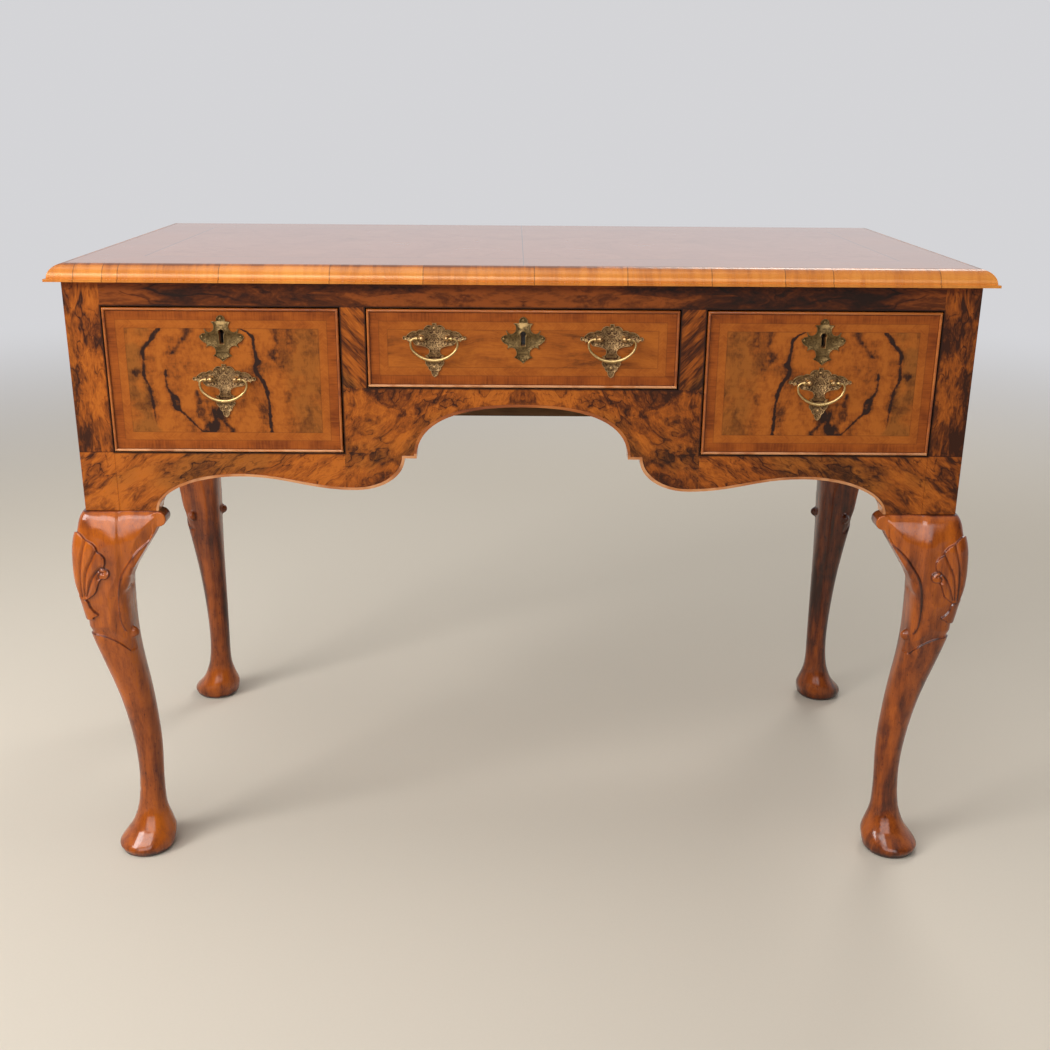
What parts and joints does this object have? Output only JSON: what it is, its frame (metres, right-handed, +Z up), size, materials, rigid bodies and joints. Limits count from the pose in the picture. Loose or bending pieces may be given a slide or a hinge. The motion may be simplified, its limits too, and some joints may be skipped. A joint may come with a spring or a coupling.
{
  "type": "lowboy",
  "caption": "Walnut lowboy: drawers over a shaped apron on cabriole legs with pad feet; drawers slide, lock bolts rise and brass bail handles swing",
  "frame": {"origin": "on the floor under the middle of the carcass", "axes": "+X to the right as seen from the front, +Y to the back, +Z up; the drawers face -Y"},
  "size_m": [1.0782, 0.5492, 0.762],
  "materials": {
    "veneered_walnut": "burr walnut veneer, polished",
    "solid_walnut": "solid walnut, waxed and polished",
    "oak": "plain oak, unpolished",
    "pine": "plain pine, unpolished",
    "brass": "antique brass, dulled and engraved",
    "iron": "old iron, oiled"
  },
  "bodies": {
    "carcass": {"top_panel": "veneered_walnut", "top_mouldings": "solid_walnut", "leg_front_left": "solid_walnut", "leg_front_right": "solid_walnut", "leg_rear_left": "solid_walnut", "leg_rear_right": "solid_walnut", "knee_blocks_front": "solid_walnut", "knee_blocks_rear": "solid_walnut", "top_rail": "veneered_walnut", "divider_left": "veneered_walnut", "divider_right": "veneered_walnut", "apron_left": "veneered_walnut", "apron_centre": "veneered_walnut", "apron_right": "veneered_walnut", "apron_beads": "solid_walnut", "side_panel_left": "veneered_walnut", "side_panel_right": "veneered_walnut", "back_panel": "pine", "partition_left": "oak", "partition_right": "oak", "drawer_runners": "oak", "drawer_kickers": "oak", "drawer_stops": "oak", "drawer_guides": "oak", "top_screws": "iron"},
    "left_drawer": {"left_drawer_front": "veneered_walnut", "left_drawer_sides": "oak", "left_drawer_back": "oak", "left_drawer_bottom": "oak", "left_drawer_cockbeads": "solid_walnut", "left_drawer_lock": "iron", "left_drawer_escutcheon": "brass", "left_drawer_posts": "brass", "left_drawer_backplate": "brass"},
    "left_bolt": {"left_drawer_lock_bolt": "iron"},
    "left_bail": {"left_drawer_bail": "brass"},
    "right_drawer": {"right_drawer_front": "veneered_walnut", "right_drawer_sides": "oak", "right_drawer_back": "oak", "right_drawer_bottom": "oak", "right_drawer_cockbeads": "solid_walnut", "right_drawer_lock": "iron", "right_drawer_escutcheon": "brass", "right_drawer_posts": "brass", "right_drawer_backplate": "brass"},
    "right_bolt": {"right_drawer_lock_bolt": "iron"},
    "right_bail": {"right_drawer_bail": "brass"},
    "centre_drawer": {"centre_drawer_front": "veneered_walnut", "centre_drawer_sides": "oak", "centre_drawer_back": "oak", "centre_drawer_bottom": "oak", "centre_drawer_cockbeads": "solid_walnut", "centre_drawer_lock": "iron", "centre_drawer_escutcheon": "brass", "centre_drawer_posts": "brass", "centre_drawer_backplate_left": "brass", "centre_drawer_backplate_right": "brass"},
    "centre_bolt": {"centre_drawer_lock_bolt": "iron"},
    "centre_bail_left": {"centre_drawer_bail_left": "brass"},
    "centre_bail_right": {"centre_drawer_bail_right": "brass"}
  },
  "joints": [
    {"name": "left_drawer_slide", "type": "slide", "parent": "carcass", "child": "left_drawer", "axis": [0, -1, 0], "range_m": [0, 0.35]},
    {"name": "left_bolt_throw", "type": "slide", "parent": "left_drawer", "child": "left_bolt", "axis": [0, 0, 1], "range_m": [0, 0.009]},
    {"name": "left_bail_swing", "type": "hinge", "parent": "left_drawer", "child": "left_bail", "pos_m": [-0.3425, -0.2625, 0.6335], "axis": [-1, 0, 0], "range_deg": [-8, 160]},
    {"name": "right_drawer_slide", "type": "slide", "parent": "carcass", "child": "right_drawer", "axis": [0, -1, 0], "range_m": [0, 0.35]},
    {"name": "right_bolt_throw", "type": "slide", "parent": "right_drawer", "child": "right_bolt", "axis": [0, 0, 1], "range_m": [0, 0.009]},
    {"name": "right_bail_swing", "type": "hinge", "parent": "right_drawer", "child": "right_bail", "pos_m": [0.3425, -0.2625, 0.6335], "axis": [-1, 0, 0], "range_deg": [-8, 160]},
    {"name": "centre_drawer_slide", "type": "slide", "parent": "carcass", "child": "centre_drawer", "axis": [0, -1, 0], "range_m": [0, 0.35]},
    {"name": "centre_bolt_throw", "type": "slide", "parent": "centre_drawer", "child": "centre_bolt", "axis": [0, 0, 1], "range_m": [0, 0.009]},
    {"name": "centre_bail_left_swing", "type": "hinge", "parent": "centre_drawer", "child": "centre_bail_left", "pos_m": [-0.101, -0.2625, 0.682], "axis": [-1, 0, 0], "range_deg": [-8, 160]},
    {"name": "centre_bail_right_swing", "type": "hinge", "parent": "centre_drawer", "child": "centre_bail_right", "pos_m": [0.101, -0.2625, 0.682], "axis": [-1, 0, 0], "range_deg": [-8, 160]}
  ]
}
